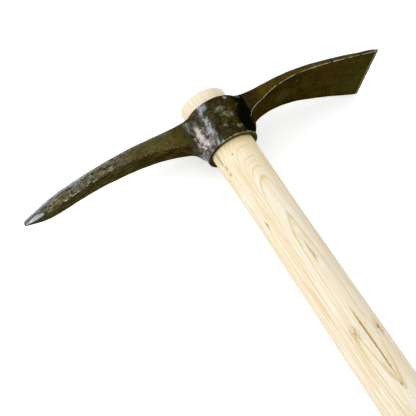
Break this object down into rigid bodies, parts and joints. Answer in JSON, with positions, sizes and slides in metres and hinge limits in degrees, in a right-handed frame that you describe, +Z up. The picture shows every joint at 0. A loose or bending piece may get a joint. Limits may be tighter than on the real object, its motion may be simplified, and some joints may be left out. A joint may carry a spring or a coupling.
{
  "type": "timber mattock",
  "caption": "Digging tool: a forged head with a curved pick and a flared adze blade on an oval-eyed socket, which slides up a tapered timber handle and jams on its flared top.",
  "frame": {"origin": "middle of the bottom of the whole tool's bounding box, as it lies on its side on the ground", "axes": "+Y along the handle towards its flared top and the head; +X towards the digging blade, so the pick points to -X; +Z up, across the blade's width"},
  "size_m": [0.475, 0.9, 0.083],
  "materials": {
    "ash": "planed and sanded pale ash, bare",
    "lacquered_steel": "thin glossy dark olive lacquer over rough forging scale"
  },
  "bodies": {
    "handle": {"handle": "ash"},
    "head": {"head": "lacquered_steel"}
  },
  "joints": [
    {"name": "head_slide", "type": "slide", "parent": "handle", "child": "head", "axis": [0, -1, 0], "range_m": [0, 0.89]}
  ]
}
